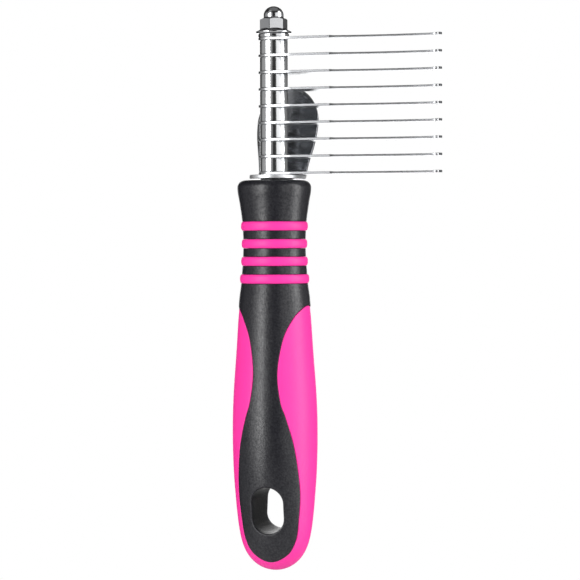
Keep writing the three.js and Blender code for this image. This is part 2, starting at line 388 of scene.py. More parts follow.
def handle_radius(z):
    into_end = np.clip((HANDLE_END + END_ROUND - z) / END_ROUND, 0, 1)
    into_rim = np.clip((z - HANDLE_TOP + COLLAR_EDGE) / COLLAR_EDGE, 0, 1)
    rim_inset = COLLAR_EDGE * (1 - np.sqrt(1 - into_rim ** 2))
    return np.interp(z, *BODY_LINE.T) * np.sqrt(1 - into_end ** END_POWER) - rim_inset


def grip_radius(z):
    return handle_radius(z) - SKIRT_STEP * np.exp((np.minimum(z, SKIRT + 1) - SKIRT) / STEP_FADE)


def core_under_grip(z):
    """The core below the grip. It closes SKIN above the grip's own end."""
    squeeze = (z - HANDLE_END - SKIN) / (END_ROUND - SKIN)
    outer = HANDLE_END + np.clip(squeeze, 0, 1) * END_ROUND
    outer = np.where(squeeze < 1, outer, z)
    return np.maximum(0, grip_radius(outer) * (1 - SKIN / END_RADIUS))


def grip_inside(z):
    return core_under_grip(z) + PARTING_GAP * np.sign(core_under_grip(z))


def depth_share(z):
    return 1 - END_FLATNESS * smoothstep((FLAT_START - z) / FLAT_REACH)


def on_body(radius_at, angle, z):
    """Points on the handle. The angle runs from the front towards +X."""
    angle, z = np.broadcast_arrays(angle, z)
    radius = radius_at(z)
    return np.stack([radius * np.sin(angle), -radius * np.cos(angle) * depth_share(z), z], -1)


def normal_of(radius_at, angle, z):
    step = 1e-3
    round_it = on_body(radius_at, angle + step, z) - on_body(radius_at, angle - step, z)
    up_it = on_body(radius_at, angle, z + step) - on_body(radius_at, angle, z - step)
    return unit(np.cross(round_it, up_it))


PANEL_SIDE = [
    (0, HANDLE_END + PANEL_TO_END),
    (5.6, HANDLE_END + 5.6),
    (8.5, HANDLE_END + 10.5),
    (9.65, -3.2),
    (PANEL_HALF_WIDTH, 7),
    (9.25, 20),
    (6.95, 29.7),
    (5.1, 35.5),
    (WAIST_HALF_WIDTH, WAIST),
    (5.6, SKIRT - 11.4),
    (8.4, SKIRT - 4.7),
    (10.5, SKIRT - 1.75),
    (SKIRT_RADIUS + 0.15, SKIRT - 0.3),
    (14, SKIRT),
    (20, SKIRT),
]
PANEL_WHOLE = spline([*[(-x, z) for x, z in PANEL_SIDE[:0:-1]], *PANEL_SIDE])
PANEL_LINE = PANEL_WHOLE[len(PANEL_WHOLE) // 2:]

PANEL_ROWS = 300


def parting_line(radius_at):
    """The panel's edge on the handle's surface as (angle, height), from the bottom's middle to the side."""
    x, z = PANEL_LINE.T
    share = x / radius_at(z)
    last = int(np.argmax(share >= 1))
    meets = np.interp(1, share[last - 1:last + 1], [0, 1])
    z_side = z[last - 1] + meets * (z[last] - z[last - 1])
    angles = np.append(np.arcsin(share[:last]), math.pi / 2)
    heights = np.append(z[:last], z_side)
    along = lengths_along(on_body(radius_at, angles, heights))
    places = np.linspace(0, along[-1], PANEL_ROWS)
    return np.interp(places, along, angles), np.interp(places, along, heights)


def angle_of(points):
    """The angles of points beside the parting line. The first is in front and the last at the side."""
    angle = np.arctan2(points[:, 0], -points[:, 1] / depth_share(points[:, 2]))
    angle[0], angle[-1] = 0, math.pi / 2
    return angle


def parting_edge(radius_at, side, lip):
    """A rolled edge beside the parting line, for the core (side -1) or the grip (side 1). It gives the
    surface angle and height where the roll begins, and the roll's points for each row."""
    angle, z = parting_line(radius_at)
    points = on_body(radius_at, angle, z)
    along = np.gradient(points, axis=0)
    along[0] = (1, 0, 0)
    along[-1] = (0, 1, 0)
    out = normal_of(radius_at, angle, z)
    towards_grip = unit(np.cross(along, out))
    start = points + towards_grip * side * (PARTING_GAP + lip)
    start_angle, start_z = angle_of(start), start[:, 2]
    start = on_body(radius_at, start_angle, start_z)
    turns = np.radians([15, 30, 45, 60, 75, 90])
    roll = [
        start - towards_grip * side * lip * math.sin(turn) - out * lip * (1 - math.cos(turn))
        for turn in turns
    ]
    return start_angle, start_z, np.stack(roll, 1)


def to_side(angle, share):
    """Angles in each row from its own angle to the side."""
    return angle[:, None] + (math.pi / 2 - angle)[:, None] * share


def all_round(quarter):
    """Whole loops from quarters that run from the front's middle to the +X side."""
    right = np.concatenate([quarter, (quarter * (1, -1, 1))[:, -2::-1]], 1)
    left = (right * (-1, 1, 1))[:, -2:0:-1]
    return np.concatenate([right, left], 1)


FRONT_COLUMNS = 44
SIDE_COLUMNS = 20


def spaced_to_pole(start, pole, count):
    """Heights from start to a round end, closer together near the end."""
    return pole + (start - pole) * (1 - np.sin(np.linspace(0, math.pi / 2, count)))


def neck_heights(start):
    """(height, depth below the surface) up the neck, with a groove for each ring."""
    rows = []
    z = start
    centres = sorted((low_of(f"grip_ring_{i}")[2] + high_of(f"grip_ring_{i}")[2]) / 2 for i in range(1, 5))
    half = RING_WIDTH / 2 + RING_GAP
    lip = [
        (GROOVE_LIP * (1 - math.sin(turn)), GROOVE_LIP * (1 - math.cos(turn)))
        for turn in np.radians([0, 30, 60, 90])
    ]
    for centre in centres:
        bottom, top = centre - half, centre + half
        rows += [(height, 0) for height in np.arange(z, bottom - GROOVE_LIP - 0.1, 0.5)]
        rows += [(bottom - away, depth) for away, depth in lip]
        rows += [(bottom, RING_DEPTH + RING_GAP), (top, RING_DEPTH + RING_GAP)]
        rows += [(top + away, depth) for away, depth in lip[::-1]]
        z = top + GROOVE_LIP + 0.3
    rows += [(height, 0) for height in np.arange(z, HANDLE_TOP - COLLAR_EDGE, 0.5)]
    for turn in np.linspace(0, math.pi / 2, 16):
        rows.append((HANDLE_TOP - COLLAR_EDGE * (1 - math.sin(turn)), 0))
    return np.array(rows)


def core_rows():
    """The core's skin as quarter rows, from its hidden bottom end to the rim of its top."""
    edge_angle, edge_z, roll = parting_edge(handle_radius, -1, CORE_LIP)
    share = np.linspace(0, 1, FRONT_COLUMNS)
    front = on_body(handle_radius, edge_angle[:, None] * share, edge_z[:, None] + 0 * share)
    foot_angle, foot_z = angle_of(roll[:, -1]), roll[:, -1, 2]
    side = np.linspace(0, 1, SIDE_COLUMNS)
    under = on_body(core_under_grip, to_side(foot_angle, side), foot_z[:, None] + 0 * side)
    panel = np.concatenate([front, roll, under], 1)

    collapsed = FRONT_COLUMNS + roll.shape[1]
    end_z = spaced_to_pole(foot_z[0], HANDLE_END + SKIN, 24)[:0:-1]
    end_angle = np.concatenate([np.zeros(collapsed), side * math.pi / 2])
    end = on_body(core_under_grip, end_angle[None], end_z[:, None])

    height, depth = neck_heights(edge_z[-1] + 0.25).T
    neck_angle = np.concatenate([share * math.pi / 2, np.full(panel.shape[1] - FRONT_COLUMNS, math.pi / 2)])
    neck = on_body(lambda z: handle_radius(z) - depth[:, None], neck_angle, height[:, None])
    return np.concatenate([end, panel, neck])


def from_slot_axis(points):
    """The way from the slot's middle line to flat points."""
    axis = np.stack([np.zeros(len(points)), np.clip(points[:, 1], -SLOT_RISE, SLOT_RISE)], 1)
    return points - axis


def slot_outline():
    """The slot's edge as flat points and outward directions."""
    sides = np.linspace(SLOT_RISE, -SLOT_RISE, 10)[1:-1]
    left = np.stack([np.full(8, -SLOT_RADIUS), sides], 1)
    outline = np.concatenate([
        arc((0, SLOT_RISE), SLOT_RADIUS, 0, 180, 40), left,
        arc((0, -SLOT_RISE), SLOT_RADIUS, 180, 360, 40), left[::-1] * (-1, 1),
    ])
    return outline, unit(from_slot_axis(outline))


def slot_distance(points):
    """How far flat points lie outside the slot's edge."""
    return np.linalg.norm(from_slot_axis(points), axis=1) - SLOT_RADIUS


def open_edge(mesh):
    """The vertices round the mesh's one opening, one after another."""
    neighbours = {}
    for edge in [edge for edge in mesh.edges if len(edge.link_faces) == 1]:
        for vertex in edge.verts:
            neighbours.setdefault(vertex, []).append(edge.other_vert(vertex))
    first = next(iter(neighbours))
    ring, previous = [first], None
    while True:
        onward = [v for v in neighbours[ring[-1]] if v is not previous]
        previous = ring[-1]
        if onward[0] is first or len(ring) > len(neighbours):
            return ring
        ring.append(onward[0])


def bridge(mesh, rings):
    """Squares between each ring of vertices and the next."""
    for ring, other in zip(rings, rings[1:]):
        for i, vertex in enumerate(ring):
            j = (i + 1) % len(ring)
            mesh.faces.new((vertex, ring[j], other[j], other[i]))


def fill(mesh, outer, inner, axes):
    """Triangles between two rings of vertices that lie roughly square to the third axis."""
    flat = [np.array([[v.co[axes[0]], v.co[axes[1]]] for v in ring]) for ring in (outer, inner)]
    every = [*outer, *inner]
    for triangle in triangles_between(flat[0], flat[1:]):
        mesh.faces.new([every[i] for i in triangle])


def cut_slot(mesh):
    """Opens the hanging slot through the core, with a rounded rim on both faces."""
    outline, outward = slot_outline()
    turns = np.radians(np.linspace(0, 90, 9))
    middle = []
    for side in (-1, 1):
        near = [
            face for face in mesh.faces
            if all(vertex.co.y * side > CORE_INNER for vertex in face.verts)
            and slot_distance(np.array([(v.co.x, v.co.z) for v in face.verts])).min() < SLOT_RIM + 0.3
        ]
        bmesh.ops.delete(mesh, geom=near, context="FACES")
        rim = open_edge(mesh)

        def face_y(flat):
            x, z = flat.T
            return side * depth_share(z) * np.sqrt(handle_radius(z) ** 2 - x ** 2)

        start = outline + outward * SLOT_RIM
        slope = (face_y(start - outward * 0.01) - face_y(start)) / 0.01
        rings = []
        for turn in turns:
            along = SLOT_RIM * math.sin(turn)
            flat = start - outward * along
            y = face_y(start) + slope * along - side * SLOT_RIM * (1 - math.cos(turn))
            rings.append([mesh.verts.new((p[0], level, p[1])) for p, level in zip(flat, y)])
        fill(mesh, rim, rings[0], (0, 2))
        bridge(mesh, rings)
        middle.append(rings[-1])
    front, back = middle
    wall = [
        [mesh.verts.new(a.co.lerp(b.co, share)) for a, b in zip(front, back)]
        for share in np.linspace(0, 1, 9)[1:-1]
    ]
    bridge(mesh, [front, *wall, back])


def seat_outline():
    """The seat in plan: round in front of the stud and straight behind it."""
    inner, back = SEAT_HALF_WIDTH - SEAT_CORNER, SEAT_BACK - SEAT_CORNER
    return joined(
        arc((0, 0), SEAT_HALF_WIDTH, 180, 360, 40),
        np.linspace((SEAT_HALF_WIDTH, 0), (SEAT_HALF_WIDTH, back), 8),
        arc((inner, back), SEAT_CORNER, 0, 90, 6),
        np.linspace((inner, SEAT_BACK), (-inner, SEAT_BACK), 8),
        arc((-inner, back), SEAT_CORNER, 90, 180, 6),
        np.linspace((-SEAT_HALF_WIDTH, back), (-SEAT_HALF_WIDTH, 0), 8),
    )


def close_top(mesh):
    """The core's flat top, the seat on it and the bore for the stud."""
    rim = open_edge(mesh)
    outline = seat_outline()
    seat = []
    for inset, height in (
        (-SEAT_FILLET, 0), (0, SEAT_FILLET), (0, SEAT_HEIGHT - SEAT_EDGE), (SEAT_EDGE, SEAT_HEIGHT),
    ):
        flat = outline - out_of(outline) * inset
        seat.append([mesh.verts.new((x, y, HANDLE_TOP + height)) for x, y in flat])
    fill(mesh, rim, seat[0], (0, 1))
    bridge(mesh, seat)
    head_bottom = low_of("stud")[2]
    pocket_top = head_bottom + HEAD_HEIGHT + POCKET_GAP
    pocket = HEAD_FLATS / math.sqrt(3) + POCKET_GAP
    bore = []
    for radius, height in (
        (STUD_HOLE, SEAT_TOP), (STUD_HOLE, pocket_top), (pocket, pocket_top),
        (pocket, head_bottom - POCKET_GAP),
    ):
        circle = arc((0, 0), radius, 0, 360, 49)[:-1]
        bore.append([mesh.verts.new((x, y, height)) for x, y in circle])
    fill(mesh, seat[-1], bore[0], (0, 1))
    bridge(mesh, bore)
    mesh.faces.new(bore[-1])


def handle_core(material):
    rows = all_round(core_rows())
    mesh = mesh_from(rows.reshape(-1, 3), grid_faces(rows.shape[0], rows.shape[1]))
    merge(mesh)
    close_top(mesh)
    cut_slot(mesh)
    piece("handle_core_body", mesh, material, "handle", "handle_core")


def grip_overmould(material):
    """The soft grip: its outside, the rolled edge beside the panel, and its inside, closed on itself."""
    edge_angle, edge_z, roll = parting_edge(grip_radius, 1, GRIP_LIP)
    share = np.linspace(1, 0, FRONT_COLUMNS)
    outer = on_body(grip_radius, to_side(edge_angle, share), edge_z[:, None] + 0 * share)
    foot_angle, foot_z = angle_of(roll[:, -1]), roll[:, -1, 2]
    inner = on_body(grip_inside, to_side(foot_angle, share[::-1]), foot_z[:, None] + 0 * share)
    panel = np.concatenate([outer, roll, inner], 1)

    count = 40
    outer_z = spaced_to_pole(edge_z[0], HANDLE_END, count)
    inner_z = spaced_to_pole(foot_z[0], HANDLE_END + SKIN, count)
    end_rows = []
    for k in range(count - 1, 0, -1):
        outside = on_body(grip_radius, share * math.pi / 2, np.full(FRONT_COLUMNS, outer_z[k]))
        inside_row = on_body(grip_inside, share[::-1] * math.pi / 2, np.full(FRONT_COLUMNS, inner_z[k]))
        seam = np.linspace(outside[-1], inside_row[0], roll.shape[1] + 2)[1:-1]
        end_rows.append(np.concatenate([outside, seam, inside_row]))
    quarter = np.concatenate([np.stack(end_rows), panel])
    rows, columns = quarter.shape[:2]

    points, faces = [], []
    back_columns = 2 * columns - 2
    roll_columns = range(FRONT_COLUMNS - 1, FRONT_COLUMNS + roll.shape[1])
    for mirror in (1, -1):
        loop = np.concatenate([quarter, (quarter * (1, -1, 1))[:, -2:0:-1]], 1) * (mirror, 1, 1)
        below_panel = {
            (row, column) for row in range(count - 1)
            for edge in roll_columns for column in (edge, back_columns - 1 - edge)
        }
        first = len(points)
        points.extend(loop.reshape(-1, 3))
        squares = grid_faces(rows, back_columns, skip=below_panel)
        faces.extend(tuple(first + i for i in square) for square in squares)
    mesh = mesh_from(points, faces)
    piece("grip_overmould_skin", mesh, material, "handle", "grip_overmould")


def grip_ring(number, material):
    low, high = low_of(f"grip_ring_{number}")[2], high_of(f"grip_ring_{number}")[2]
    centre = (low + high) / 2
    surface = float(handle_radius(np.array(centre)))
    turns = np.linspace(-math.pi / 2, math.pi / 2, 25)
    edge, inner = surface - RING_TUCK, surface - RING_DEPTH
    outside = [
        (edge + (RING_PROUD + RING_TUCK) * math.cos(turn) ** 0.9, centre + RING_WIDTH / 2 * math.sin(turn))
        for turn in turns[1:-1]
    ]
    profile = [(inner, low), (edge, low), *outside, (edge, high), (inner, high), (inner, low)]
    name = f"grip_ring_band_{number}"
    piece(name, lathe(profile, 256), material, "handle", f"grip_ring_{number}")


# ---- The head ----

def stud(material):
    """The hexagonal head and the shank, with a thread at its upper end."""
    bottom, top = low_of("stud")[2], high_of("stud")[2]
    head_top = bottom + HEAD_HEIGHT
    thread_start = top - THREAD_LENGTH

    def radius_at(rule, height, angles):
        if rule == "axis":
            return 0
        if rule == "head":
            return HEAD_FLATS / 2 / np.cos(angles % (math.pi / 3) - math.pi / 6)
        if rule == "thread":
            turn = ((height - thread_start) / THREAD_PITCH + angles / (2 * math.pi)) % 1
            fade = smoothstep(min(height - thread_start, top - height) / THREAD_PITCH)
            return STUD_RADIUS - THREAD_DEPTH * fade * (1 - np.abs(2 * turn - 1))
        return STUD_RADIUS

    heights = [("axis", bottom), ("head", bottom), ("head", head_top), ("shank", head_top)]
    heights += [("thread", height) for height in np.arange(thread_start, top, THREAD_PITCH / 8)]
    heights += [("shank", top), ("axis", top)]
    mesh = turned(radius_at, heights, 72)
    piece("stud_bolt", mesh, material, "handle", "stud")


def tube(name, node, edge, material):
    """A turned tube round the stud, as large as its CAD node, with rounded edges."""
    low, high = low_of(node), high_of(node)
    corners = [(STUD_HOLE, low[2]), (high[0], low[2]), (high[0], high[2]), (STUD_HOLE, high[2])]
    piece(name, lathe(rounded_profile(corners, edge)), material, "handle", node)


def cap_nut(material):
    """A flanged hexagon nut with a domed cap, chamfered at the hexagon's top."""
    bottom, top = low_of("cap_nut")[2], high_of("cap_nut")[2]
    flange_top = bottom + FLANGE_HEIGHT
    hex_top = flange_top + HEX_HEIGHT
    corner = NUT_FLATS / math.sqrt(3)
    dome_foot = hex_top + DOME_NECK

    def flange(height):
        if height < bottom + FLANGE_RIM:
            return FLANGE_RADIUS - 0.3 * (1 - (height - bottom) / FLANGE_RIM) ** 3
        rise = (height - bottom - FLANGE_RIM) / (FLANGE_HEIGHT - FLANGE_RIM)
        slope = FLANGE_RADIUS + (NUT_FLATS / 2 - FLANGE_RADIUS) * rise
        return slope - 0.12 * math.exp(-rise / 0.06) if rise <= 1.2 else 0

    def hexagon(height, angles):
        if not bottom + FLANGE_RIM < height <= hex_top:
            return 0 * angles
        flats = NUT_FLATS / 2 / np.cos((angles - NUT_TURN) % (math.pi / 3) - math.pi / 6)
        reach = corner * CORNER_REACH
        blunt = (flats ** -CORNER_SHARPNESS + reach ** -CORNER_SHARPNESS) ** (-1 / CORNER_SHARPNESS)
        below_top = hex_top - height
        chamfer = NUT_FLATS / 2 - 0.2 + below_top * 1.75 - 0.1 * math.exp(-below_top / 0.08)
        return np.minimum(blunt, chamfer)

    def dome(height):
        if height <= dome_foot:
            fillet = max(0.0, 1 - (height - hex_top) / 0.45) if height > hex_top else 0
            return DOME_RADIUS + 0.35 * fillet ** 2
        return DOME_RADIUS * math.sqrt(max(0.0, 1 - ((height - dome_foot) / (top - dome_foot)) ** 2))

    def radius_at(rule, height, angles):
        if rule == "outside":
            return np.maximum(np.maximum(flange(height), dome(height)), hexagon(height, angles))
        return rule

    rise = np.linspace(0, math.pi / 2, 36)
    outside = np.concatenate([
        np.arange(bottom, hex_top, 0.05),
        [hex_top, hex_top + 1e-3],
        np.arange(hex_top + 0.06, dome_foot, 0.06),
        dome_foot + (top - dome_foot) * np.sin(rise),
    ])
    bore_top = bottom + BORE_DEPTH
    heights = [(0, bore_top), (STUD_HOLE, bore_top), (STUD_HOLE, bottom)]
    heights += [("outside", height) for height in outside]
    mesh = turned(radius_at, heights, 288)
    piece("cap_nut_domed", mesh, material, "cap_nut", "cap_nut", sharp=28)


PLATE_POINTS, BEND_STEPS, LEAN_STEPS = 60, 24, 160


def sheet_line(start, plate_middle, top):
    """The rest's middle line as (length along the sheet, y, z), from the plate's front to its top."""
    points = [(y, plate_middle) for y in np.linspace(start, PLATE_TO_BEND, PLATE_POINTS)]
    turned_by = math.pi / 2 - math.radians(LEAN_AT_BEND)
    for angle in np.linspace(0, turned_by, BEND_STEPS + 1)[1:]:
        points.append((
            PLATE_TO_BEND + BEND_RADIUS * math.sin(angle),
            plate_middle + BEND_RADIUS * (1 - math.cos(angle)),
        ))
    foot = points[-1][1]
    rise = (top + 1 - foot) / LEAN_STEPS
    for step in range(LEAN_STEPS):
        share = (step + 0.5) / LEAN_STEPS
        lean = math.radians(LEAN_AT_BEND + (LEAN_AT_TOP - LEAN_AT_BEND) * share)
        y, z = points[-1]
        points.append((y + rise * math.tan(lean), z + rise))
    points = np.array(points)
    return np.column_stack([lengths_along(points), points])


def thumb_rest(material):
    """One bent sheet: a flat plate round the stud, a tight bend and a tall leaning lobe."""
    low, high = low_of("thumb_rest"), high_of("thumb_rest")
    plate_top = low[2] + SHEET
    top = high[2]
    length, y, z = sheet_line(-PLATE_RADIUS - 1, low[2] + SHEET / 2, top).T

    def at_y(value):
        return np.interp(value, y, length)

    def at_z(value):
        return np.interp(value, z[PLATE_POINTS:], length[PLATE_POINTS:])

    front = arc((0, 0), PLATE_RADIUS, 270, 360, 40)
    front = np.stack([front[:, 0], at_y(front[:, 1])], 1)
    flat_end = np.linspace((PLATE_RADIUS, at_y(0)), (PLATE_RADIUS, at_z(plate_top + 0.5)), 24)
    flare = bezier(
        (PLATE_RADIUS, plate_top), (PLATE_RADIUS + 0.3, plate_top + 6),
        (REST_HALF_WIDTH, plate_top + 10.5), (REST_HALF_WIDTH, top - REST_LOBE), 40,
    )[2:]
    flare = np.stack([flare[:, 0], at_z(flare[:, 1])], 1)
    turns = np.linspace(0, math.pi / 2, 48)
    lobe_z = top - REST_LOBE + REST_LOBE * np.sin(turns)
    lobe = np.stack([REST_HALF_WIDTH * np.cos(turns), at_z(lobe_z)], 1)
    right = np.concatenate([front[:-1], flat_end[:-1], flare[:-1], lobe])
    outline = np.concatenate([right, (right * (-1, 1))[-2:0:-1]])

    hole = arc((0, at_y(0)), STUD_HOLE, 360, 0, 49)[:-1]
    bend_start, bend_end = at_y(PLATE_TO_BEND), length[PLATE_POINTS + BEND_STEPS - 1]
    rows = np.concatenate([
        np.arange(1, bend_start - 0.3, 1.2),
        np.arange(bend_start - 0.2, bend_end + 0.3, 0.2),
        np.arange(bend_end + 0.8, length[-1], 0.8),
    ])
    columns = np.arange(-REST_HALF_WIDTH, REST_HALF_WIDTH, 0.7) + 0.3
    lattice = []
    for row in rows:
        for column in columns:
            spot = np.array((column, row))
            clear_of_rim = np.linalg.norm(outline - spot, axis=1).min() > 0.75
            clear_of_hole = math.hypot(column, row - at_y(0)) > STUD_HOLE + 0.7
            if clear_of_rim and clear_of_hole and inside(spot, outline):
                lattice.append(spot)

    def place(flat, height):
        x, along = flat.T
        middle_y, middle_z = np.interp(along, length, y), np.interp(along, length, z)
        step = 0.05
        dy = np.interp(along + step, length, y) - np.interp(along - step, length, y)
        dz = np.interp(along + step, length, z) - np.interp(along - step, length, z)
        slope = np.hypot(dy, dz)
        up = smoothstep((middle_z - plate_top - 2) / 8)
        raised = height - up * (REST_CROWN - np.sqrt(REST_CROWN ** 2 - x ** 2))
        return np.stack([x, middle_y - dz / slope * raised, middle_z + dy / slope * raised], 1)

    def half_at(flat):
        return np.full(len(flat), SHEET / 2)

    def roundness(flat):
        return np.full(len(flat), SHEET_ROUNDNESS)

    mesh = plate(outline, [hole], half_at, SHEET_RIM, place, roundness, extra=lattice)
    piece("thumb_rest_sheet", mesh, material, "handle", "thumb_rest", sharp=60)


def edge_y(x):
    """The cutting edge's line: it curves back between its ends."""
    share = np.clip((x - SHANK_LENGTH) / (blade_reach() - NOSE_LENGTH - SHANK_LENGTH), 0, 1)
    return -EYE_RADIUS - SHANK_FLARE + 4 * EDGE_HOLLOW * share * (1 - share)


def blade_reach():
    return high_of("blade_1")[0]


def blade(number, material):
    """A flat blade with a round eye, a bevelled cutting edge and a blunt nose of full thickness."""
    node = f"blade_{number}"
    low, high = low_of(node), high_of(node)
    reach, middle, half = high[0], (low[2] + high[2]) / 2, (high[2] - low[2]) / 2
    edge_line = -EYE_RADIUS - SHANK_FLARE
    tip_start = reach - NOSE_LENGTH
    edge_x = np.linspace(SHANK_LENGTH, tip_start, 60)
    nose_x, nose_y = reach - NOSE_RADIUS, edge_line - NOSE_RADIUS
    outline = joined(
        arc((0, 0), EYE_RADIUS, 90, 270, 64),
        np.linspace((0, -EYE_RADIUS), (SHANK_LENGTH, edge_line), 16),
        np.stack([edge_x, edge_y(edge_x)], 1),
        bezier(
            (tip_start, edge_line), (tip_start + 0.8, edge_line), (nose_x - 0.5, nose_y), (nose_x, nose_y), 8,
        ),
        arc((nose_x, edge_line), NOSE_RADIUS, 270, 360, 12),
        bezier(
            (reach, edge_line), (reach, edge_line + 4),
            (BACK_STRAIGHT + 12, EYE_RADIUS), (BACK_STRAIGHT, EYE_RADIUS), 40,
        ),
        np.linspace((BACK_STRAIGHT, EYE_RADIUS), (0, EYE_RADIUS), 24),
    )
    hole = arc((0, 0), STUD_HOLE, 360, 0, 49)[:-1]
    run_in = 2.0
    run_out = 0.9

    def sharpened(flat):
        x, y = flat.T
        near_edge = 1 - np.clip((y - edge_y(x)) / BEVEL_WIDTH, 0, 1)
        return near_edge * smoothstep((x - SHANK_LENGTH) / run_in) * smoothstep((tip_start - x) / run_out)

    def half_at(flat):
        return half - (half - EDGE_THICKNESS / 2) * sharpened(flat)

    shoulder_x = np.linspace(SHANK_LENGTH - 0.5, tip_start + 0.5, 70)
    shoulder = np.stack([shoulder_x, edge_y(shoulder_x) + BEVEL_WIDTH], 1)
    ends = []
    for x in (
        *np.linspace(SHANK_LENGTH, SHANK_LENGTH + run_in, 6), *np.linspace(tip_start - run_out, tip_start, 6),
    ):
        for share in (0.3, 0.6, 0.85):
            ends.append((x, float(edge_y(np.array(x))) + BEVEL_WIDTH * share))
    extra = np.concatenate([shoulder, ends])
    lines = [(i, i + 1) for i in range(len(shoulder) - 1)]

    def place(flat, height):
        return np.stack([flat[:, 0], flat[:, 1], middle + height], 1)

    def roundness(flat):
        return 0.4 + 0.6 * sharpened(flat)

    mesh = plate(outline, [hole], half_at, BLADE_RIM, place, roundness, extra, lines)
    piece(f"blade_steel_{number}", mesh, material, node, node, sharp=6)


# ---- Materials ----

def linear(red, green, blue):
    """A colour given as it looks on a screen, 0 to 255, in the shader's linear terms."""
    return tuple(
        c / 255 / 12.92 if c / 255 <= 0.04045 else ((c / 255 + 0.055) / 1.055) ** 2.4
        for c in (red, green, blue)
    ) + (1,)


class Nodes:
    """A tree of nodes. place is where its textures lie."""

    def __init__(self, tree, space):
        self.tree = tree
        self.place = self.node("ShaderNodeTexCoord").outputs[space]

    def node(self, kind, **settings):
        made = self.tree.nodes.new(kind)
        for name, value in settings.items():
            setattr(made, name, value)
        return made

    def link(self, output, target):
        self.tree.links.new(output, target)

    def ranged(self, value, low, high, from_low=0.3, from_high=0.7, interpolation="LINEAR"):
        made = self.node("ShaderNodeMapRange", interpolation_type=interpolation)
        for name, number in (
            ("From Min", from_low), ("From Max", from_high), ("To Min", low), ("To Max", high),
        ):
            made.inputs[name].default_value = number
        self.link(value, made.inputs["Value"])
        return made.outputs["Result"]

    def maths(self, first, second, operation="ADD"):
        made = self.node("ShaderNodeMath", operation=operation)
        self.link(first, made.inputs[0])
        if isinstance(second, (int, float)):
            made.inputs[1].default_value = second
        else:
            self.link(second, made.inputs[1])
        return made.outputs[0]


class Shader(Nodes):
    """A Principled material, with every texture laid out in metres on the object."""

    def __init__(self, name, **sockets):
        self.material = bpy.data.materials.new(name)
        self.material.use_nodes = True
        super().__init__(self.material.node_tree, "Object")
        self.surface = self.tree.nodes["Principled BSDF"]
        for socket, value in sockets.items():
            self.surface.inputs[socket.replace("_", " ")].default_value = value

    def to(self, socket, output):
        self.link(output, self.surface.inputs[socket])

    def part(self, vector, axis):
        made = self.node("ShaderNodeSeparateXYZ")
        self.link(vector, made.inputs["Vector"])
        return made.outputs[axis]

    def level(self):
        """How squarely the surface faces up or down, from 0 to 1."""
        normal = self.node("ShaderNodeTexCoord").outputs["Normal"]
        return self.maths(self.part(normal, "Z"), 0, "ABSOLUTE")

    def stretched(self, scale, turn=(0, 0, 0)):
        mapping = self.node("ShaderNodeMapping")
        mapping.inputs["Scale"].default_value = scale
        mapping.inputs["Rotation"].default_value = [math.radians(angle) for angle in turn]
        self.link(self.place, mapping.inputs["Vector"])
        return mapping.outputs["Vector"]

    def noise(self, scale, detail=3, roughness=0.5, at=None):
        made = self.node("ShaderNodeTexNoise")
        made.inputs["Scale"].default_value = scale
        made.inputs["Detail"].default_value = detail
        made.inputs["Roughness"].default_value = roughness
        self.link(at or self.place, made.inputs["Vector"])
        return made.outputs["Fac"]

    def mixed(self, share, first, second):
        made = self.node("ShaderNodeMix", data_type="RGBA")
        self.link(share, made.inputs["Factor"])
        for socket, colour in (("A", first), ("B", second)):
            if isinstance(colour, tuple):
                made.inputs[socket].default_value = colour
            else:
                self.link(colour, made.inputs[socket])
        return made.outputs["Result"]

    def bump(self, height, depth, strength=1.0, below=None):
        made = self.node("ShaderNodeBump")
        made.inputs["Distance"].default_value = depth
        made.inputs["Strength"].default_value = strength
        self.link(height, made.inputs["Height"])
        if below is not None:
            self.link(below, made.inputs["Normal"])
        return made.outputs["Normal"]

    def scratches(self, turn, length_scale, width_scale, amount):
        """Thin straight lines: a noise drawn out along one direction, of which only the peaks are kept."""
        value = self.noise(1, 2, 0.6, self.stretched((length_scale, width_scale, width_scale), turn))
        return self.ranged(value, 0, amount, 0.66, 0.74)


def black_plastic():
    """Moulded plastic with a fine spark-eroded grain, rubbed a little smoother in places."""
    shader = Shader("black_plastic")
    rubbed = shader.noise(90, 4, 0.55)
    fine = shader.noise(5200, 2, 0.6)
    grain = shader.noise(1500, 3, 0.65)
    shader.to("Base Color", shader.mixed(grain, linear(18, 18, 22), linear(34, 34, 40)))
    shader.to("Roughness", shader.ranged(rubbed, 0.29, 0.35))
    shader.to("Specular IOR Level", shader.ranged(grain, 0.3, 0.72))
    shader.to("Normal", shader.bump(fine, 0.00003, 0.4, shader.bump(grain, 0.0001, 0.6)))
    return shader.material


def pink_rubber():
    """Soft thermoplastic rubber: matte, with a very fine grain and faint cloudy marks."""
    shader = Shader("pink_rubber", Specular_IOR_Level=0.42)
    clouds = shader.noise(60, 5, 0.6)
    grain = shader.noise(4200, 2, 0.6)
    shader.to("Base Color", shader.mixed(clouds, linear(249, 46, 156), linear(252, 52, 162)))
    shader.to("Roughness", shader.ranged(grain, 0.42, 0.52))
    shader.to("Normal", shader.bump(grain, 0.000025, 0.5))
    return shader.material


def turned_steel(name, colour, roughness, line_scale=2600):
    """Polished round parts, with fine lathe lines that run round them."""
    shader = Shader(name, Metallic=1)
    lines = shader.noise(1, 3, 0.6, shader.stretched((6, 6, line_scale)))
    smudge = shader.noise(140, 4, 0.55)
    shader.to("Base Color", shader.mixed(smudge, linear(*colour[0]), linear(*colour[1])))
    shader.to("Roughness", shader.maths(
        shader.ranged(lines, 0, 0.05), shader.ranged(smudge, roughness, roughness + 0.05),
    ))
    shader.to("Normal", shader.bump(lines, 0.0000015, 0.5))
    return shader.material


